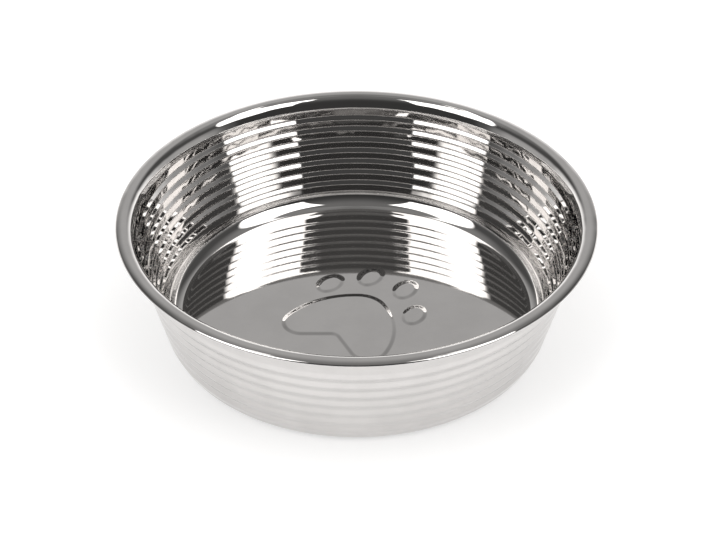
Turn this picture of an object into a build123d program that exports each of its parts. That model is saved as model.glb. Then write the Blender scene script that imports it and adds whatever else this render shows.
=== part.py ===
from build123d import *
import os
from math import cos, radians, sin, sqrt, tan

# A double-walled stainless steel bowl for a dog. The polished inner bowl holds the food and
# has the rolled rim, a second shell stands around it, and a rubber ring is set under the shell.
# Millimetres, +Z up. The origin is the middle of the face that rests on the ground.

# Overall sizes
RIM_DIAMETER = 240.0
BOWL_HEIGHT = 66.5

# Pressed sheet
BOWL_SHEET = 0.5
SHELL_SHEET = 0.5

# Rolled rim: from its highest point a crown falls outward to a tight edge roll, and a turn
# and a long skirt fall inward to the wall. The falls are degrees from level.
RIM_EDGE_RADIUS = 1.2
RIM_CROWN_RADIUS = 5.6
RIM_CROWN_FALL = 25.0
RIM_TURN_RADIUS = 2.6
RIM_TURN_FALL = 29.0
RIM_SKIRT_RADIUS = 12.0
RIM_SKIRT_FALL = 66.0

# Wall and floor of the inner bowl
FLOOR_DEPTH = 59.8  # from the rim's top down to the floor
WALL_LEAN = 15.0  # degrees outward from upright
BOWL_CORNER_RADIUS = 6.0

# Ribs pressed into the inner bowl, standing inward, between two plain bands
BOWL_RIBS = 8
BOWL_RIB_HEIGHT = 0.9
BOWL_PLAIN_FOOT = 5.1
BOWL_PLAIN_HEAD = 1.5

# Outer shell
SHELL_DROP = 7.0  # from the rim's top down to the shell's edge
WALL_GAP_HEAD = 1.1
WALL_GAP_FOOT = 0.3
SHELL_CORNER_RADIUS = 5.0

# Ribs pressed into the shell, standing outward
SHELL_RIBS = 7
SHELL_RIB_HEIGHT = 0.5
SHELL_PLAIN_HEAD = 7.0  # plain band between the top rib and the rim

# Rubber ring bonded to the raised panel under the shell
RING_RADIUS = 86.0
RING_WIDTH = 8.0
RING_THICKNESS = 2.4
RING_STANDOFF = 1.0  # how far the ring stands below the steel
RING_DRAFT = 0.6  # how much narrower each side is at the tread
RING_CLEARANCE = 0.3

# Paw print raised from the floor, in its own frame with the toes toward +Y
PAW_PLACE = (2.0, -0.6)
PAW_TURN = -32.0
PAW_HEIGHT = 0.6
PAW_BEVEL = 2.2
PAD_CROWN_CENTRE = -3.0
PAD_CROWN_RADIUS = 16.3
PAD_LOBE_SPREAD = 19.9
PAD_LOBE_CENTRE = -24.4
PAD_LOBE_RADIUS = 10.4
PAD_SIDE_RADIUS = 44.3
PAD_NOTCH = -24.9
PAD_NOTCH_RADIUS = 3.7
TOE_LENGTH = 17.0
TOE_WIDTH = 12.4
TOE_END_RADIUS = 5.0
INNER_TOE = (10.6, 27.2)
INNER_TOE_SPLAY = -2.0
OUTER_TOE = (25.6, 11.0)
OUTER_TOE_SPLAY = -8.0

# Straight bands that stand for each rounded stretch of a turned section
BOWL_CORNER_BAND_COUNT = 1
SHELL_CORNER_BAND_COUNT = 1
SKIRT_BAND_COUNT = 2
ROLL_BAND_COUNT = 2

# Rim arcs, with X as the radius and Y as the height
rim_radius = RIM_DIAMETER / 2
crown_fall = radians(RIM_CROWN_FALL)
rim_top = Vector(
    rim_radius - RIM_EDGE_RADIUS * (1 - sin(crown_fall)) - RIM_CROWN_RADIUS * sin(crown_fall), BOWL_HEIGHT
)
turn = JernArc(rim_top, (-1, 0), RIM_TURN_RADIUS, RIM_TURN_FALL)
skirt = JernArc(turn @ 1, turn % 1, RIM_SKIRT_RADIUS, RIM_SKIRT_FALL - RIM_TURN_FALL)
crown = JernArc(rim_top, (1, 0), RIM_CROWN_RADIUS, -RIM_CROWN_FALL)
roll = JernArc(crown @ 1, crown % 1, RIM_EDGE_RADIUS, RIM_CROWN_FALL - 180)

# Visible face of the inner bowl's wall, from the rim's crease down to the floor
crease = skirt @ 1
floor_z = BOWL_HEIGHT - FLOOR_DEPTH
base_z = RING_STANDOFF
shell_z = BOWL_HEIGHT - SHELL_DROP
wall_slope = Vector(tan(radians(WALL_LEAN)), 1)
wall_foot = crease - wall_slope * (crease.Y - floor_z)
wall_at_shell = crease - wall_slope * (crease.Y - shell_z)
wall_across = 1 / cos(radians(WALL_LEAN))

# The shell's visible face stands off the bowl's by both sheets and the gap between them
two_sheets = BOWL_SHEET + SHELL_SHEET
shell_head = wall_at_shell + Vector((two_sheets + WALL_GAP_HEAD) * wall_across, 0)
shell_level = wall_foot + Vector((two_sheets + WALL_GAP_FOOT) * wall_across, 0)
shell_slope = (shell_head - shell_level) / (shell_head.Y - shell_level.Y)
shell_foot = shell_level - shell_slope * (shell_level.Y - base_z)


def bands(arc, count):
    """Points at equal steps along an arc, both ends included."""
    return [arc @ (i / count) for i in range(count + 1)]


def corner(before, point, after, radius, count):
    """Points that round a corner of an outline."""
    return bands(FilletPolyline(before, point, after, radius=radius).edges()[1], count)


def ribbed(foot, head, count, relief):
    """Points of a wall with ribs: each one rises to its crest and falls back to the wall."""
    step = (head - foot) / count
    points = [foot]
    for i in range(count):
        points.append(foot + step * (i + 0.5) + relief)
        points.append(foot + step * (i + 1))
    return points


def turned(points):
    """Solid of revolution inside a closed outline."""
    return revolve(Plane.XZ * make_face(Polyline(*points, close=True)), Axis.Z)


def rim_points():
    """Visible face of the rim: up the skirt to the highest point, over the crown and round the edge roll."""
    inward = bands(skirt, SKIRT_BAND_COUNT)
    return inward[::-1] + [rim_top] + bands(roll, ROLL_BAND_COUNT)


def arc_about(centre, start, end):
    """Arc of less than a half turn about a centre."""
    radius = (start - centre).length
    return ThreePointArc(start, centre + (start + end - centre * 2).normalized() * radius, end)


def across_axis(point):
    """The same point on the other side of the paw's axis."""
    return Vector(-point.X, point.Y)


def pad_outline(inset):
    """Main pad of the paw as tangent arcs and two straight lines, all moved inward by the same distance."""
    crown_centre = Vector(0, PAD_CROWN_CENTRE)
    lobe = Vector(PAD_LOBE_SPREAD, PAD_LOBE_CENTRE)
    span = lobe - crown_centre
    ahead = span.normalized()
    to_crown = PAD_SIDE_RADIUS - PAD_CROWN_RADIUS
    to_lobe = PAD_SIDE_RADIUS - PAD_LOBE_RADIUS
    shift = (to_crown**2 - to_lobe**2 + span.length**2) / (2 * span.length)
    side = crown_centre + ahead * shift + Vector(ahead.Y, -ahead.X) * sqrt(to_crown**2 - shift**2)

    # The line from a lobe to the notch touches both arcs, which lie on its two sides
    notch = Vector(0, PAD_NOTCH - PAD_NOTCH_RADIUS)
    between = notch - lobe
    near = (PAD_LOBE_RADIUS + PAD_NOTCH_RADIUS) / between.length
    toward = between.normalized()
    square = toward * near + Vector(-toward.Y, toward.X) * sqrt(1 - near**2)

    top = crown_centre + (crown_centre - side).normalized() * (PAD_CROWN_RADIUS - inset)
    flank = lobe + (lobe - side).normalized() * (PAD_LOBE_RADIUS - inset)
    heel = lobe + square * (PAD_LOBE_RADIUS - inset)
    dip = notch - square * (PAD_NOTCH_RADIUS + inset)
    return make_face(
        [
            arc_about(crown_centre, across_axis(top), top),
            arc_about(side, top, flank),
            arc_about(lobe, flank, heel),
            Line(heel, dip),
            arc_about(notch, dip, across_axis(dip)),
            Line(across_axis(dip), across_axis(heel)),
            arc_about(across_axis(lobe), across_axis(heel), across_axis(flank)),
            arc_about(across_axis(side), across_axis(flank), across_axis(top)),
        ]
    )


def toe_outline(inset):
    """One toe of the paw as an oval of four tangent arcs, all moved inward by the same distance."""
    end = Vector(0, TOE_LENGTH / 2 - TOE_END_RADIUS)
    narrow = TOE_WIDTH / 2 - TOE_END_RADIUS
    side = Vector((narrow**2 - end.Y**2) / (2 * narrow), 0)
    join = end + (end - side).normalized() * (TOE_END_RADIUS - inset)
    below = Vector(join.X, -join.Y)
    return make_face(
        [
            arc_about(end, across_axis(join), join),
            arc_about(side, join, below),
            arc_about(-end, below, across_axis(below)),
            arc_about(across_axis(side), across_axis(below), across_axis(join)),
        ]
    )


def raised(outline):
    """Low form with bevelled sides, from an outline that can be moved inward."""
    return loft([outline(0), Pos(0, 0, PAW_HEIGHT) * outline(PAW_BEVEL)], ruled=True)


def paw_print():
    """The raised pad and toes, in their place on the floor of the bowl."""
    toe = raised(toe_outline)
    forms = [raised(pad_outline)]
    for (x, y), splay in ((INNER_TOE, INNER_TOE_SPLAY), (OUTER_TOE, OUTER_TOE_SPLAY)):
        forms.append(Pos(x, y) * Rot(0, 0, -splay) * toe)
        forms.append(Pos(-x, y) * Rot(0, 0, splay) * toe)
    place = Pos(*PAW_PLACE, floor_z) * Rot(0, 0, PAW_TURN)
    return [place * form for form in forms]


def inner_bowl():
    """Polished bowl: floor with the paw, ribbed wall, and the rim rolled over the shell's edge."""
    centre = Vector(0, floor_z)
    relief = Vector(-cos(radians(WALL_LEAN)), sin(radians(WALL_LEAN))) * BOWL_RIB_HEIGHT
    rib_foot = wall_foot + wall_slope * BOWL_PLAIN_FOOT
    rib_head = crease - wall_slope * BOWL_PLAIN_HEAD
    behind = Vector(BOWL_SHEET * wall_across, 0)
    under_floor = wall_foot + behind - wall_slope * BOWL_SHEET
    outline = [
        centre,
        *corner(centre, wall_foot, crease, BOWL_CORNER_RADIUS, BOWL_CORNER_BAND_COUNT),
        *ribbed(rib_foot, rib_head, BOWL_RIBS, relief),
        *rim_points(),
        shell_head,
        wall_at_shell + behind,
        under_floor,
        Vector(0, under_floor.Y),
    ]
    bowl = turned(outline)
    for form in paw_print():
        bowl += form
    return bowl


def outer_shell():
    """Second wall: base dished up to the ring's panel, rounded corner, ribs and a plain band under the rim."""
    panel_z = base_z + RING_THICKNESS - RING_STANDOFF
    panel_edge = Vector(RING_RADIUS + RING_CLEARANCE, panel_z)
    rounded = corner(Vector(0, base_z), shell_foot, shell_head, SHELL_CORNER_RADIUS, SHELL_CORNER_BAND_COUNT)
    relief = Vector(shell_slope.Y, -shell_slope.X).normalized() * SHELL_RIB_HEIGHT
    rib_head = shell_head - shell_slope * SHELL_PLAIN_HEAD
    behind = Vector(SHELL_SHEET * shell_slope.length, 0)
    inside_z = panel_z + SHELL_SHEET
    outline = [
        Vector(0, panel_z),
        panel_edge,
        *rounded[:-1],
        *ribbed(rounded[-1], rib_head, SHELL_RIBS, relief),
        shell_head,
        shell_head - behind,
        shell_foot - behind + shell_slope * (inside_z - base_z),
        Vector(0, inside_z),
    ]
    return turned(outline)


def base_ring():
    """Rubber ring on the raised panel, standing below the steel."""
    inside = RING_RADIUS - RING_WIDTH
    outline = [
        (inside, RING_THICKNESS),
        (inside + RING_DRAFT, 0),
        (RING_RADIUS - RING_DRAFT, 0),
        (RING_RADIUS, RING_THICKNESS),
    ]
    return turned(outline)


def main():
    os.makedirs("parts", exist_ok=True)
    nodes = {"inner_bowl": inner_bowl(), "outer_shell": outer_shell(), "base_ring": base_ring()}
    for name, node in nodes.items():
        node.label = name
        export_step(node, f"parts/{name}.step")


main()
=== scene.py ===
import math

import bpy
import numpy as np
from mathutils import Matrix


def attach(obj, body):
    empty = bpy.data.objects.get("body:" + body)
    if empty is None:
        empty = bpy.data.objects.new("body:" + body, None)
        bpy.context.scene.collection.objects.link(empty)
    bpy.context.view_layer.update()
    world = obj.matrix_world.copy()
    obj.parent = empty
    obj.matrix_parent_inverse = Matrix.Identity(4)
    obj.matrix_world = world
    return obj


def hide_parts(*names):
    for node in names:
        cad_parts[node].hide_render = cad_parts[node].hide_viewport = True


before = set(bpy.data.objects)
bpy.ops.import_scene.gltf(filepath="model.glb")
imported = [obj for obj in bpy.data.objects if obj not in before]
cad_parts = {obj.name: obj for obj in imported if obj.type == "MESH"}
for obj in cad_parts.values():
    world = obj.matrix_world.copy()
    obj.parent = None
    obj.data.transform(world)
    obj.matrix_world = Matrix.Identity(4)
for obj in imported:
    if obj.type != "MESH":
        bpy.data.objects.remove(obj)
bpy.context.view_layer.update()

# Sizes in millimetres, from the CAD model or measured more finely in the photograph's reflections
MM = 0.001
RIM_RADIUS = 119.97
RIM_TOP = 66.5
FLOOR_Z = 6.0
BASE_Z = 1.0
SHEET = 0.5

# Rim, from its outer edge to the wall: radii, and falls, the degrees that its face has turned from level
TUCK_RADIUS = 0.3
TUCK_FALL = 72.0
UNDER_FALL = 180.0
EDGE_RADIUS = 1.2
CROWN_RADIUS = 11.0
CROWN_FALL = 18.0
TURN_RADIUS = 4.8
TURN_FALL = 60.0
SKIRT_LENGTH = 2.28

# Inner wall: seven ribs and the lower flank of one more, between two plain strips
WALL_LEAN = math.radians(15.0)
BOWL_CORNER = 10.0
BOWL_RIB_HEIGHT = 0.7
BOWL_RIB_RISE = 0.62
BOWL_RIB_EASE = 0.13
BOWL_RIBS = 7 + BOWL_RIB_RISE
BOWL_PLAIN_FOOT = 8.1
BOWL_PLAIN_HEAD = 2.4

# Outer wall and its dished base
SHELL_DROP = 7.0
WALL_GAP = 0.3
SHELL_CORNER = 5.0
SHELL_RIBS = 7
SHELL_RIB_HEIGHT = 0.6
SHELL_RIB_RISE = 0.5
SHELL_RIB_EASE = 0.2
SHELL_PLAIN_HEAD = 7.0
DISH_HUB = 20.0
DISH_MIDDLE = 50.0
DISH_EDGE_RADIUS = 3.0
DISH_EDGE_MARGIN = 1.2

# Rubber ring
RING_RADIUS = 86.0
RING_WIDTH = 8.0
RING_THICKNESS = 2.4
RING_DRAFT = 0.6
RING_CLEARANCE = 0.3
RING_TREAD_EDGE = 0.6
RING_TOP_EDGE = 0.15

# Paw print, measured at the foot of its sides
PAW_PLACE = (2.0, -0.6)
PAW_TURN = math.radians(-32.0)
PAW_HEIGHT = 0.62
PAW_BEVEL = 3.2
PAW_EASE = 0.2
PAD_CROWN = (0.0, -3.0)
PAD_CROWN_RADIUS = 17.0
PAD_LOBE = (19.9, -24.4)
PAD_LOBE_RADIUS = 11.1
PAD_SIDE_RADIUS = 45.0
PAD_NOTCH = -25.6
PAD_NOTCH_RADIUS = 3.0
TOE_LENGTH = 18.4
TOE_WIDTH = 13.8
TOE_END = 5.7
# Place and splay in degrees of the toes on one side
TOES = ((10.6, 27.2, -2.0), (25.6, 11.0, -8.0))

# Mesh fineness
SEGMENTS = 360
GRID = 180
PAW_DISC = 50.0
FLOOR_RINGS = 6
FLOOR_START = 1.5
FLOOR_MARGIN = 1.0
BOWL_CORNER_STEPS = 14
SHELL_CORNER_STEPS = 10
EDGE_STEPS = 5
TURN_STEPS = 14
RIM_ARC_STEPS = 8
OUTLINE_STEPS = 24
RIB_BENDS = np.array([0, 0.5, 1, 1.4])
SHARP_ANGLE = math.radians(35.0)

# Steel: fineness of its lines, smears and dents, the spans of noise that they use, and lengths in metres
LINES_ROUND = 3.0
LINES_ALONG = 2600.0
LINES_DEPTH = 0.00002
LINES_WORN = (0.45, 0.75)
SMEAR_SCALE = 55.0
SMEAR_GLOSS = (0.35, 0.7)
SMEAR_TINT = (0.3, 0.75)
GLOSS_LEAST = 0.75
GLOSS_MOST = 1.3
TINT_DARKER = 0.94
DENTS_ROUND = 14.0
DENTS_ALONG = 40.0
DENTS_FROM = (0.012, 0.020)
HUB_RADIUS = 0.0005

# Rubber
GRAIN_SCALE = 2400.0
GRAIN_DEPTH = 0.0001
DUST_SCALE = 60.0
DUST_TINT = (0.4, 0.75)
DUST_GLOSS = (0.3, 0.8)
RUBBER_ROUGHNESS = (0.55, 0.78)
RUBBER_BLACK = (0.018, 0.018, 0.019)
RUBBER_DUSTY = (0.040, 0.039, 0.038)

# Light panels: slopes of the planes that cut them off, and edges in degrees above the table
PANEL_STRENGTH = 2.9
PANEL_INNER_SLOPE = 0.65
PANEL_INNER_SOFT = 0.02
PANEL_BACK_SLOPE = 0.557
PANEL_BACK_RISE = 0.50
PANEL_BACK_SOFT = 0.03
PANEL_FOOT = (30.0, 24.0)
PANEL_FOOT_TURN = (38.0, 58.0)
PANEL_FOOT_SOFT = 2.0
PANEL_HEAD = (66.0, 70.0)
PANEL_COLOUR = (1.0, 0.985, 0.97)

# Room: rises are degrees above the table, and turns are degrees away from the front
FRONT_RISE = (22.0, 75.0)
FRONT_LIGHT = (0.05, 0.20)
SIDE_RISE = (8.0, 30.0)
SIDE_TURN = (105.0, 138.0)
SIDE_FOOT_LIGHT = (0.5, 1.4)
SIDE_LIGHT = 0.09
SIDE_HEAD_RISE = (40.0, 62.0)
SIDE_HEAD_LIGHT = (0.0, 0.2)
BACK_RISE = (46.0, 76.0)
BACK_LIGHT = (0.51, 0.24)
BACK_FOOT_RISE = (2.0, 28.0)
BACK_FOOT_TURN = (145.0, 175.0)
FRONT_TO_SIDE = (60.0, 85.0)
SIDE_TO_BACK = (138.0, 170.0)
ROOM_COLOUR = (1.0, 0.99, 0.98)

# Table: lengths in metres, and a painted shadow that dims its glow near the bowl's foot
TABLE_HALF = 4.0
TABLE_PAINTED_SHADOW_RADII = (0.09, 0.17)
TABLE_PAINTED_SHADOW_GLOW = (0.50, 0.72)
TABLE_COLOUR = (0.6, 0.6, 0.6)

# Camera, fitted to the outlines of the rim and the base in the photograph
PHOTO_WIDTH = 716
FOCAL_PIXELS = 2000
SENSOR_WIDTH = 36.0
CAMERA_PLACE = (0.0, -0.8211, 0.6320)
CAMERA_DOWN = 36.18
CAMERA_TURN = -0.051


def on_arc(centre, radius, fall):
    """Point of a rim arc where its face has turned by a number of degrees, inward as positive."""
    return centre + radius * np.array([-math.sin(math.radians(fall)), math.cos(math.radians(fall))])


# Rim: tuck, edge roll, crown and inward turn, each tangent to the next, and a straight skirt to the wall
to_edge = on_arc(np.zeros(2), CROWN_RADIUS - EDGE_RADIUS, -CROWN_FALL)
to_tuck = on_arc(np.zeros(2), EDGE_RADIUS - TUCK_RADIUS, -TUCK_FALL)
crown_x = RIM_RADIUS - TUCK_RADIUS - to_tuck[0] - to_edge[0]
crown_centre = np.array([crown_x, RIM_TOP - CROWN_RADIUS])
edge_centre = crown_centre + to_edge
tuck_centre = edge_centre + to_tuck
turn_centre = np.array([crown_x, RIM_TOP - TURN_RADIUS])
skirt_way = np.array([math.cos(math.radians(TURN_FALL)), math.sin(math.radians(TURN_FALL))])
crease = on_arc(turn_centre, TURN_RADIUS, TURN_FALL) - SKIRT_LENGTH * skirt_way

# Inner wall: the line that its ribs stand on, with the plain strip at its head level with their crests
wall_slope = np.array([math.tan(WALL_LEAN), 1.0])
across = 1 / math.cos(WALL_LEAN)
wall_head = crease + np.array([BOWL_RIB_HEIGHT * across, 0])
wall_foot = wall_head - wall_slope * (crease[1] - FLOOR_Z)

# Outer wall: two sheets and the gap away from that line, from its head under the rim to its foot
to_shell = np.array([(2 * SHEET + WALL_GAP) * across, 0])
shell_head = wall_head - wall_slope * (crease[1] - RIM_TOP + SHELL_DROP) + to_shell
shell_level = wall_foot + to_shell
shell_slope = (shell_head - shell_level) / (shell_head[1] - shell_level[1])
shell_foot = shell_level - shell_slope * (shell_level[1] - BASE_Z)


def unit(vector):
    """The vector at length 1."""
    return vector / np.linalg.norm(vector)


def flip(point):
    """The point's mirror image, left to right."""
    return np.array([-point[0], point[1]])


def turned(points, angle):
    """Points turned about the origin."""
    c, s = math.cos(angle), math.sin(angle)
    return points @ np.array([[c, s], [-s, c]])


def short_turn(start, end):
    """Angle of a vector, and the shorter turn from it to another."""
    first = math.atan2(start[1], start[0])
    turn = (math.atan2(end[1], end[0]) - first + math.pi) % (2 * math.pi) - math.pi
    return first, turn


def rounded(before, point, after, radius, steps):
    """Points that round a corner of a profile."""
    a = unit(before - point)
    b = unit(after - point)
    half = math.acos(float(np.clip(a @ b, -1, 1))) / 2
    centre = point + unit(a + b) * radius / math.sin(half)
    start = point + a * radius / math.tan(half) - centre
    end = point + b * radius / math.tan(half) - centre
    first, turn = short_turn(start, end)
    angles = first + np.linspace(0, turn, steps + 1)
    return centre + radius * np.column_stack([np.cos(angles), np.sin(angles)])


def arc_about(centre, start, end):
    """Points of the short arc about a centre, without its end."""
    first, turn = short_turn(start - centre, end - centre)
    angles = first + turn * np.arange(OUTLINE_STEPS) / OUTLINE_STEPS
    radius = np.linalg.norm(start - centre)
    return centre + radius * np.column_stack([np.cos(angles), np.sin(angles)])


def eased(t, ease):
    """Straight slope from 0 to 1 with rounded ends."""
    t = np.clip(t, 0, 1)
    slope = np.where(t < ease, t**2 / (2 * ease), t - ease / 2)
    slope = np.where(t > 1 - ease, 1 - ease - (1 - t) ** 2 / (2 * ease), slope)
    return slope / (1 - ease)


def ribbed(foot, head, count, relief, rise, ease):
    """Points of a wall with ribs that stand off it along relief, close together only where it bends.

    Rise is the lower flank's share of the pitch. A count that isn't whole ends part of the way up a rib.
    """
    bends = RIB_BENDS * ease
    flank = np.concatenate([bends, [0.5], 1 - bends[:0:-1]])
    one = np.concatenate([flank * rise, rise + flank * (1 - rise)])
    place = np.concatenate([k + one for k in range(math.ceil(count))])
    place = np.append(place[place < count - 1e-6], count)
    way = place - np.minimum(np.floor(place), math.ceil(count) - 1)
    stand = eased(way / rise, ease) - eased((way - rise) / (1 - rise), ease)
    return foot + (head - foot) * (place / count)[:, None] + relief * stand[:, None]


def rim_profile():
    """Visible face of the rim from the crease over the crown to the tuck under the edge roll."""
    arcs = (
        (turn_centre, TURN_RADIUS, TURN_FALL, 0, TURN_STEPS),
        (crown_centre, CROWN_RADIUS, 0, -CROWN_FALL, RIM_ARC_STEPS),
        (edge_centre, EDGE_RADIUS, -CROWN_FALL, -TUCK_FALL, RIM_ARC_STEPS),
        (tuck_centre, TUCK_RADIUS, -TUCK_FALL, -UNDER_FALL, RIM_ARC_STEPS),
    )
    points = [crease]
    for centre, radius, start, end, steps in arcs:
        falls = np.linspace(start, end, steps, endpoint=False)
        points += [on_arc(centre, radius, fall) for fall in falls]
    return np.vstack([points, on_arc(tuck_centre, TUCK_RADIUS, -UNDER_FALL)])


def ring_points(profile):
    """Vertices of a turned profile, ring after ring, in metres."""
    angles = np.arange(SEGMENTS) * 2 * math.pi / SEGMENTS - math.pi / 4
    points = np.empty((len(profile), SEGMENTS, 3))
    points[:, :, 0] = profile[:, 0, None] * np.cos(angles)
    points[:, :, 1] = profile[:, 0, None] * np.sin(angles)
    points[:, :, 2] = profile[:, 1, None]
    return points.reshape(-1, 3) * MM


def ring_starts(profile, start=0):
    """Index of the first vertex of each ring."""
    return [start + k * SEGMENTS for k in range(len(profile))]


def lathe_faces(rings):
    """Quads between neighbouring rings."""
    faces = []
    for a, b in zip(rings[:-1], rings[1:]):
        for i in range(SEGMENTS):
            j = (i + 1) % SEGMENTS
            faces.append((a + i, a + j, b + j, b + i))
    return faces


def fan_faces(ring, hub):
    """Triangles between a ring and one vertex in its middle."""
    return [(ring + i, ring + (i + 1) % SEGMENTS, hub) for i in range(SEGMENTS)]


def turned_over(faces):
    """The same faces, looking the other way."""
    return [face[::-1] for face in faces]


def mesh_piece(name, points, faces, material):
    """New object with a smooth mesh, sharp only at its real edges."""
    mesh = bpy.data.meshes.new(name)
    mesh.from_pydata([tuple(p) for p in points], [], faces)
    mesh.validate()
    mesh.polygons.foreach_set("use_smooth", [True] * len(mesh.polygons))
    mesh.set_sharp_from_angle(angle=SHARP_ANGLE)
    mesh.materials.append(material)
    piece = bpy.data.objects.new(name, mesh)
    bpy.context.scene.collection.objects.link(piece)
    return piece


def pad_outline():
    """Main pad of the paw as tangent arcs and two straight lines to its notch, in the paw's own frame."""
    crown = np.array(PAD_CROWN)
    lobe = np.array(PAD_LOBE)
    ahead = unit(lobe - crown)
    length = np.linalg.norm(lobe - crown)
    to_crown = PAD_SIDE_RADIUS - PAD_CROWN_RADIUS
    to_lobe = PAD_SIDE_RADIUS - PAD_LOBE_RADIUS
    shift = (to_crown**2 - to_lobe**2 + length**2) / (2 * length)
    aside = np.array([ahead[1], -ahead[0]])
    side = crown + ahead * shift + aside * math.sqrt(to_crown**2 - shift**2)
    notch = np.array([0, PAD_NOTCH - PAD_NOTCH_RADIUS])
    near = (PAD_LOBE_RADIUS + PAD_NOTCH_RADIUS) / np.linalg.norm(notch - lobe)
    toward = unit(notch - lobe)
    square = toward * near + np.array([-toward[1], toward[0]]) * math.sqrt(1 - near**2)
    top = crown + unit(crown - side) * PAD_CROWN_RADIUS
    flank = lobe + unit(lobe - side) * PAD_LOBE_RADIUS
    heel = lobe + square * PAD_LOBE_RADIUS
    dip = notch - square * PAD_NOTCH_RADIUS
    return np.vstack([
        arc_about(crown, flip(top), top),
        arc_about(side, top, flank),
        arc_about(lobe, flank, heel),
        heel,
        arc_about(notch, dip, flip(dip)),
        flip(dip),
        arc_about(flip(lobe), flip(heel), flip(flank)),
        arc_about(flip(side), flip(flank), flip(top)),
    ])


def toe_outline(x, y, splay):
    """One toe of the paw as a four-arc oval, in the paw's own frame."""
    end = np.array([0, TOE_LENGTH / 2 - TOE_END])
    narrow = TOE_WIDTH / 2 - TOE_END
    side = np.array([(narrow**2 - end[1] ** 2) / (2 * narrow), 0])
    join = end + unit(end - side) * TOE_END
    below = np.array([join[0], -join[1]])
    oval = np.vstack([
        arc_about(end, flip(join), join),
        arc_about(side, join, below),
        arc_about(-end, below, flip(below)),
        arc_about(flip(side), flip(below), flip(join)),
    ])
    return turned(oval, -math.radians(splay)) + np.array([x, y])


def depth_inside(points, outline):
    """How far each point lies inside a closed outline, negative outside."""
    best = np.full(len(points), np.inf)
    odd = np.zeros(len(points), bool)
    for p, q in zip(outline, np.roll(outline, -1, axis=0)):
        pq = q - p
        t = np.clip(((points - p) @ pq) / (pq @ pq), 0, 1)
        best = np.minimum(best, np.hypot(*(points - p - t[:, None] * pq).T))
        if p[1] != q[1]:
            crosses = (p[1] > points[:, 1]) != (q[1] > points[:, 1])
            odd ^= crosses & (points[:, 0] < p[0] + (points[:, 1] - p[1]) * pq[0] / pq[1])
    return np.where(odd, best, -best)


def paw_height(points):
    """Height of the paw's relief over points of the floor."""
    own = turned(points - np.array(PAW_PLACE), -PAW_TURN)
    outlines = [pad_outline()]
    for x, y, splay in TOES:
        outlines.append(toe_outline(x, y, splay))
        outlines.append(toe_outline(-x, y, -splay))
    height = np.zeros(len(points))
    for outline in outlines:
        slope = eased(depth_inside(own, outline) / PAW_BEVEL, PAW_EASE)
        height = np.maximum(height, PAW_HEIGHT * slope)
    return height


def inner_bowl(material):
    """Polished bowl as one closed mesh: a fine grid with the paw in mid-floor, and a lathe around it."""
    # A square grid, pressed into a disc
    t = math.sqrt(2) * np.sin(np.linspace(-math.pi / 4, math.pi / 4, GRID + 1))
    x, y = np.meshgrid(t, t, indexing="ij")
    round_x = x * np.sqrt(1 - y**2 / 2)
    round_y = y * np.sqrt(1 - x**2 / 2)
    disc = np.column_stack([round_x.ravel(), round_y.ravel()]) * PAW_DISC
    grid = np.column_stack([disc, FLOOR_Z + paw_height(disc)]) * MM
    row = GRID + 1
    cells = [i * row + j for i in range(GRID) for j in range(GRID)]
    faces = [(k, k + row, k + row + 1, k + 1) for k in cells]

    # The rest of the bowl from the floor over the rim to its underside
    rib_foot = wall_foot + wall_slope * BOWL_PLAIN_FOOT
    rib_head = wall_head - wall_slope * BOWL_PLAIN_HEAD
    relief = np.array([-math.cos(WALL_LEAN), math.sin(WALL_LEAN)]) * BOWL_RIB_HEIGHT
    corner = rounded(np.array([0, FLOOR_Z]), wall_foot, wall_head, BOWL_CORNER, BOWL_CORNER_STEPS)
    radii = np.linspace(PAW_DISC + FLOOR_START, corner[0, 0] - FLOOR_MARGIN, FLOOR_RINGS)
    behind = np.array([SHEET * across, 0])
    ledge = wall_head - wall_slope * (crease[1] - shell_head[1]) + behind
    under = wall_foot + behind - wall_slope * SHEET
    profile = np.vstack([
        np.column_stack([radii, np.full(FLOOR_RINGS, FLOOR_Z)]),
        corner,
        ribbed(rib_foot, rib_head, BOWL_RIBS, relief, BOWL_RIB_RISE, BOWL_RIB_EASE),
        rim_profile(),
        shell_head,
        ledge,
        under,
        [under[0] / 2, under[1]],
    ])
    rings = ring_starts(profile, len(grid))
    points = np.vstack([grid, ring_points(profile), [[0, 0, under[1] * MM]]])
    # This profile runs from the inside out, so its faces are turned over to look outward
    faces += turned_over(lathe_faces(rings))
    faces += turned_over(fan_faces(rings[-1], len(points) - 1))

    # The grid's edge has two vertices for each one of the lathe
    edge = [(GRID, j) for j in range(GRID)]
    edge += [(i, GRID) for i in range(GRID, 0, -1)]
    edge += [(0, j) for j in range(GRID, 0, -1)]
    edge += [(i, 0) for i in range(GRID)]
    edge = [i * row + j for i, j in edge]
    for i in range(SEGMENTS):
        a, m, b = edge[2 * i], edge[2 * i + 1], edge[(2 * i + 2) % len(edge)]
        c, d = rings[0] + i, rings[0] + (i + 1) % SEGMENTS
        faces += [(a, c, m), (m, c, d), (m, d, b)]
    return mesh_piece("bowl_polished", points, faces, material)


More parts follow.
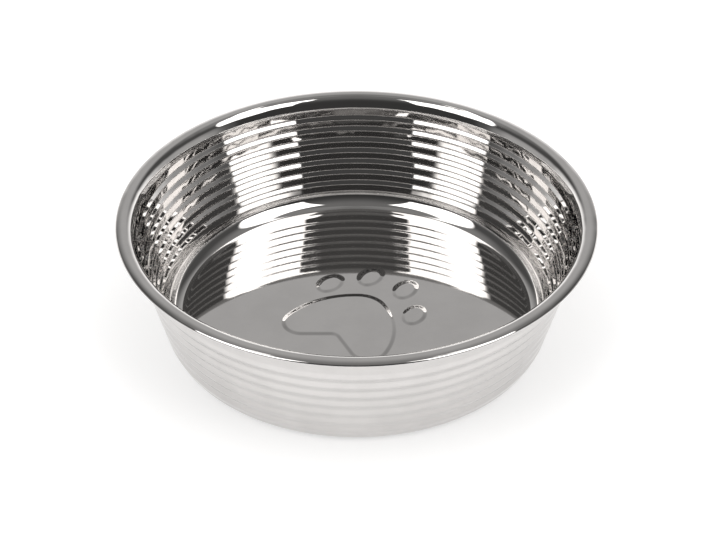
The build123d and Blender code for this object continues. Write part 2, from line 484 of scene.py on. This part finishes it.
def outer_shell(material):
    """Second wall with its ribs and its dished base, as one closed lathe."""
    dish_z = RING_THICKNESS
    dish_edge = np.array([RING_RADIUS + RING_CLEARANCE, dish_z])
    dish_middle = np.array([DISH_MIDDLE, dish_z])
    foot = rounded(np.array([0, BASE_Z]), shell_foot, shell_head, SHELL_CORNER, SHELL_CORNER_STEPS)
    relief = unit(np.array([shell_slope[1], -shell_slope[0]])) * SHELL_RIB_HEIGHT
    rib_head = shell_head - shell_slope * SHELL_PLAIN_HEAD
    behind = np.array([SHEET * np.linalg.norm(shell_slope), 0])
    inside_z = dish_z + SHEET
    profile = np.vstack([
        [DISH_HUB, dish_z],
        dish_middle,
        [dish_edge[0] - DISH_EDGE_MARGIN, dish_z],
        rounded(dish_middle, dish_edge, foot[0], DISH_EDGE_RADIUS, EDGE_STEPS),
        foot[:-1],
        ribbed(foot[-1], rib_head, SHELL_RIBS, relief, SHELL_RIB_RISE, SHELL_RIB_EASE),
        shell_head,
        shell_head - behind,
        shell_foot - behind + shell_slope * (inside_z - BASE_Z),
        [DISH_HUB, inside_z],
    ])
    rings = ring_starts(profile)
    points = np.vstack([ring_points(profile), [[0, 0, dish_z * MM]], [[0, 0, inside_z * MM]]])
    faces = lathe_faces(rings)
    faces += turned_over(fan_faces(rings[0], len(points) - 2))
    faces += fan_faces(rings[-1], len(points) - 1)
    return mesh_piece("shell_ribbed", points, faces, material)


def base_ring(material):
    """Rubber ring with rounded edges."""
    inside = RING_RADIUS - RING_WIDTH
    corners = np.array([
        [inside, RING_THICKNESS],
        [inside + RING_DRAFT, 0.0],
        [RING_RADIUS - RING_DRAFT, 0.0],
        [RING_RADIUS, RING_THICKNESS],
    ])
    loop = []
    for k, point in enumerate(corners):
        radius = RING_TREAD_EDGE if point[1] == 0 else RING_TOP_EDGE
        after = corners[(k + 1) % len(corners)]
        loop.append(rounded(corners[k - 1], point, after, radius, EDGE_STEPS))
    profile = np.vstack(loop)
    faces = lathe_faces(ring_starts(profile) + [0])
    return mesh_piece("ring_rubber", ring_points(profile), faces, material)


class Nodes:
    """Short way to write a node tree."""

    def __init__(self, tree):
        self.tree = tree
        tree.nodes.clear()

    def add(self, kind, inputs=None, **settings):
        """New node with its settings, and with values or links for its inputs."""
        node = self.tree.nodes.new(kind)
        for key, value in settings.items():
            setattr(node, key, value)
        for key, value in (inputs or {}).items():
            self.set(node.inputs[key], value)
        return node

    def set(self, socket, value):
        """Link a socket to another, or give it a value."""
        if isinstance(value, bpy.types.NodeSocket):
            self.tree.links.new(value, socket)
        else:
            socket.default_value = value

    def math(self, operation, a, b=0.0, c=0.0):
        """Result of one sum."""
        node = self.add("ShaderNodeMath", {0: a, 1: b, 2: c}, operation=operation)
        return node.outputs[0]

    def ramp(self, value, low, high, out_low=0.0, out_high=1.0):
        """Smooth step from one value to another."""
        inputs = {
            "Value": value,
            "From Min": low,
            "From Max": high,
            "To Min": out_low,
            "To Max": out_high,
        }
        return self.add("ShaderNodeMapRange", inputs, interpolation_type="SMOOTHSTEP").outputs[0]

    def mix(self, factor, a, b):
        """Blend of two numbers."""
        inputs = {"Factor": factor, "A": a, "B": b}
        return self.add("ShaderNodeMix", inputs, data_type="FLOAT").outputs[0]

    def mix_colours(self, factor, a, b):
        """Blend of two colours. The sockets go by number because each kind of value has its own A and B."""
        inputs = {"Factor": factor, 6: (*a, 1), 7: (*b, 1)}
        return self.add("ShaderNodeMix", inputs, data_type="RGBA").outputs[2]

    def noise(self, place, scale, detail, roughness=0.5):
        """Value of a noise texture."""
        inputs = {"Vector": place, "Scale": scale, "Detail": detail, "Roughness": roughness}
        return self.add("ShaderNodeTexNoise", inputs).outputs["Fac"]

    def split(self, vector):
        """The three parts of a vector."""
        return self.add("ShaderNodeSeparateXYZ", {0: vector}).outputs

    def from_axis(self, x, y):
        """Distance from the upright axis."""
        squares = self.math("ADD", self.math("MULTIPLY", x, x), self.math("MULTIPLY", y, y))
        return self.math("SQRT", squares)

    def round_axis(self, x, y, radius, fineness, along):
        """Texture place on a turned piece: the way round it, and a place along it."""
        inputs = {
            0: self.math("MULTIPLY", self.math("DIVIDE", x, radius), fineness),
            1: self.math("MULTIPLY", self.math("DIVIDE", y, radius), fineness),
            2: along,
        }
        return self.add("ShaderNodeCombineXYZ", inputs).outputs[0]


def new_material(name):
    """Empty material and its nodes."""
    material = bpy.data.materials.new(name)
    material.use_nodes = True
    return material, Nodes(material.node_tree)


def steel(name, colour, roughness, grain, scratch, wave):
    """Stainless steel with turned polishing lines, small changes in its gloss, and shallow dents.

    Grain is how much the lines roughen it, scratch is their bump, and wave is the dents' depth in metres.
    """
    material, nodes = new_material(name)
    position = nodes.add("ShaderNodeTexCoord").outputs["Object"]
    x, y, z = nodes.split(position)
    radius = nodes.from_axis(x, y)
    safe = nodes.math("MAXIMUM", radius, HUB_RADIUS)

    outward = nodes.math("MULTIPLY", radius, LINES_ALONG)
    along = nodes.math("ADD", outward, nodes.math("MULTIPLY", z, LINES_ALONG))
    lines = nodes.noise(nodes.round_axis(x, y, safe, LINES_ROUND, along), 1.0, 3.0, 0.6)
    smears = nodes.noise(position, SMEAR_SCALE, 4.0, 0.55)
    gloss = nodes.ramp(smears, *SMEAR_GLOSS, roughness * GLOSS_LEAST, roughness * GLOSS_MOST)
    worn = nodes.ramp(lines, *LINES_WORN, 0.0, roughness * grain)
    darker = [c * TINT_DARKER for c in colour]
    tint = nodes.mix_colours(nodes.ramp(smears, *SMEAR_TINT), colour, darker)
    bump = nodes.add("ShaderNodeBump", {"Strength": scratch, "Distance": LINES_DEPTH, "Height": lines})

    # Pressed sheet is never quite even: long shallow dents that run up the wall
    dents_at = nodes.round_axis(x, y, safe, DENTS_ROUND, nodes.math("MULTIPLY", z, DENTS_ALONG))
    dents = nodes.noise(dents_at, 1.0, 0.0)
    uneven = nodes.add("ShaderNodeBump", {
        "Strength": 1.0,
        "Distance": wave,
        "Height": nodes.math("MULTIPLY", dents, nodes.ramp(z, *DENTS_FROM)),
        "Normal": bump.outputs[0],
    })
    shader = nodes.add("ShaderNodeBsdfPrincipled", {
        "Base Color": tint,
        "Metallic": 1.0,
        "Roughness": nodes.math("ADD", gloss, worn),
        "Normal": uneven.outputs[0],
    })
    nodes.add("ShaderNodeOutputMaterial", {"Surface": shader.outputs[0]})
    return material


def rubber():
    """Matt black rubber with a fine moulded grain and pale dust in places."""
    material, nodes = new_material("ring_rubber")
    position = nodes.add("ShaderNodeTexCoord").outputs["Object"]
    grain = nodes.noise(position, GRAIN_SCALE, 3.0)
    dust = nodes.noise(position, DUST_SCALE, 5.0)
    bump = nodes.add("ShaderNodeBump", {"Strength": 0.35, "Distance": GRAIN_DEPTH, "Height": grain})
    shader = nodes.add("ShaderNodeBsdfPrincipled", {
        "Base Color": nodes.mix_colours(nodes.ramp(dust, *DUST_TINT), RUBBER_BLACK, RUBBER_DUSTY),
        "Roughness": nodes.ramp(dust, *DUST_GLOSS, *RUBBER_ROUGHNESS),
        "Normal": bump.outputs[0],
    })
    nodes.add("ShaderNodeOutputMaterial", {"Surface": shader.outputs[0]})
    return material


def studio_panels(nodes, x, y, z, rise, off):
    """Two tall white panels in front at the left and right, cut off by planes through the bowl."""
    width = nodes.math("ABSOLUTE", x)
    beside = nodes.math("MULTIPLY_ADD", nodes.math("ABSOLUTE", y), -PANEL_INNER_SLOPE, width)
    inner = nodes.ramp(beside, -PANEL_INNER_SOFT, PANEL_INNER_SOFT)
    plane = nodes.math("MULTIPLY_ADD", width, -PANEL_BACK_SLOPE, nodes.math("MULTIPLY", z, PANEL_BACK_RISE))
    back = nodes.ramp(nodes.math("SUBTRACT", plane, y), -PANEL_BACK_SOFT, PANEL_BACK_SOFT)
    above = nodes.math("SUBTRACT", rise, nodes.ramp(off, *PANEL_FOOT_TURN, *PANEL_FOOT))
    foot = nodes.ramp(above, -PANEL_FOOT_SOFT, PANEL_FOOT_SOFT)
    head = nodes.ramp(rise, *PANEL_HEAD, 1.0, 0.0)
    panel = nodes.math("MULTIPLY", inner, back)
    return nodes.math("MULTIPLY", panel, nodes.math("MULTIPLY", foot, head))


def studio_room(nodes, rise, off):
    """Dim room in front, dark sides that are paler low down, and a grey backdrop with a bright foot."""
    front = nodes.ramp(rise, *FRONT_RISE, *FRONT_LIGHT)
    low_sides = nodes.ramp(off, *SIDE_TURN, *SIDE_FOOT_LIGHT)
    sides = nodes.ramp(rise, *SIDE_RISE, low_sides, SIDE_LIGHT)
    sides = nodes.math("ADD", sides, nodes.ramp(rise, *SIDE_HEAD_RISE, *SIDE_HEAD_LIGHT))
    back = nodes.ramp(rise, *BACK_RISE, *BACK_LIGHT)
    room = nodes.mix(nodes.ramp(off, *FRONT_TO_SIDE), front, sides)
    room = nodes.mix(nodes.ramp(off, *SIDE_TO_BACK), room, back)
    behind = nodes.ramp(off, *BACK_FOOT_TURN)
    high = nodes.math("MULTIPLY", nodes.ramp(rise, *BACK_FOOT_RISE), behind)
    return nodes.math("ADD", room, nodes.math("SUBTRACT", behind, high))


def studio_world():
    """Studio around the bowl: its light panels and its room."""
    world = bpy.data.worlds.new("studio")
    bpy.context.scene.world = world
    world.use_nodes = True
    nodes = Nodes(world.node_tree)
    x, y, z = nodes.split(nodes.add("ShaderNodeTexCoord").outputs["Generated"])
    to_degrees = 180 / math.pi
    rise = nodes.math("MULTIPLY", nodes.math("ARCSINE", z), to_degrees)
    turn = nodes.math("ARCTAN2", x, nodes.math("MULTIPLY", y, -1.0))
    off = nodes.math("ABSOLUTE", nodes.math("MULTIPLY", turn, to_degrees))
    panel = studio_panels(nodes, x, y, z, rise, off)
    room = studio_room(nodes, rise, off)
    background = nodes.add("ShaderNodeBackground", {
        "Color": nodes.mix_colours(panel, ROOM_COLOUR, PANEL_COLOUR),
        "Strength": nodes.math("MULTIPLY_ADD", panel, PANEL_STRENGTH, room),
    })
    nodes.add("ShaderNodeOutputWorld", {"Surface": background.outputs[0]})


def studio_floor():
    """White table that glows where the camera and reflections see it, dimmer near the bowl's foot as a
    painted shadow. Its matt part keeps the bowl's real shadow.
    """
    mesh = bpy.data.meshes.new("floor")
    corners = [(-1, -1), (1, -1), (1, 1), (-1, 1)]
    mesh.from_pydata([(x * TABLE_HALF, y * TABLE_HALF, 0) for x, y in corners], [], [(0, 1, 2, 3)])
    floor = bpy.data.objects.new("floor", mesh)
    bpy.context.scene.collection.objects.link(floor)
    material, nodes = new_material("floor_white")
    path = nodes.add("ShaderNodeLightPath").outputs
    seen = nodes.math("MAXIMUM", path["Is Camera Ray"], path["Is Glossy Ray"])
    seen = nodes.math("MAXIMUM", seen, path["Is Transmission Ray"])
    x, y, z = nodes.split(nodes.add("ShaderNodeTexCoord").outputs["Object"])
    # Painted shadow: the table's glow is dimmer close to the bowl's foot, between the two radii
    painted_shadow_glow = nodes.ramp(nodes.from_axis(x, y), *TABLE_PAINTED_SHADOW_RADII, *TABLE_PAINTED_SHADOW_GLOW)
    glow = nodes.add("ShaderNodeEmission", {
        "Color": (1, 1, 1, 1),
        "Strength": nodes.math("MULTIPLY", seen, painted_shadow_glow),
    })
    matt = nodes.add("ShaderNodeBsdfDiffuse", {"Color": (*TABLE_COLOUR, 1)})
    both = nodes.add("ShaderNodeAddShader", {0: glow.outputs[0], 1: matt.outputs[0]})
    nodes.add("ShaderNodeOutputMaterial", {"Surface": both.outputs[0]})
    mesh.materials.append(material)


def camera():
    """Camera at the photograph's place, with its lens."""
    data = bpy.data.cameras.new("camera")
    view = bpy.data.objects.new("camera", data)
    bpy.context.scene.collection.objects.link(view)
    data.sensor_fit = "HORIZONTAL"
    data.sensor_width = SENSOR_WIDTH
    data.lens = FOCAL_PIXELS / PHOTO_WIDTH * SENSOR_WIDTH
    view.location = CAMERA_PLACE
    view.rotation_euler = (math.radians(90 - CAMERA_DOWN), 0, math.radians(CAMERA_TURN))
    bpy.context.scene.camera = view


polished = steel(
    "steel_polished",
    colour=(0.68, 0.667, 0.657),
    roughness=0.03,
    grain=0.5,
    scratch=0.05,
    wave=0.00016,
)
bright = steel(
    "steel_bright",
    colour=(0.645, 0.63, 0.62),
    roughness=0.06,
    grain=0.6,
    scratch=0.2,
    wave=0.00004,
)
for piece, node, slot in (
    (inner_bowl(polished), "inner_bowl", "polished_steel"),
    (outer_shell(bright), "outer_shell", "shell_steel"),
    (base_ring(rubber()), "base_ring", "ring_rubber"),
):
    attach(piece, "root")
    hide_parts(node)

studio_world()
studio_floor()
camera()
bpy.context.scene.view_settings.view_transform = "Standard"
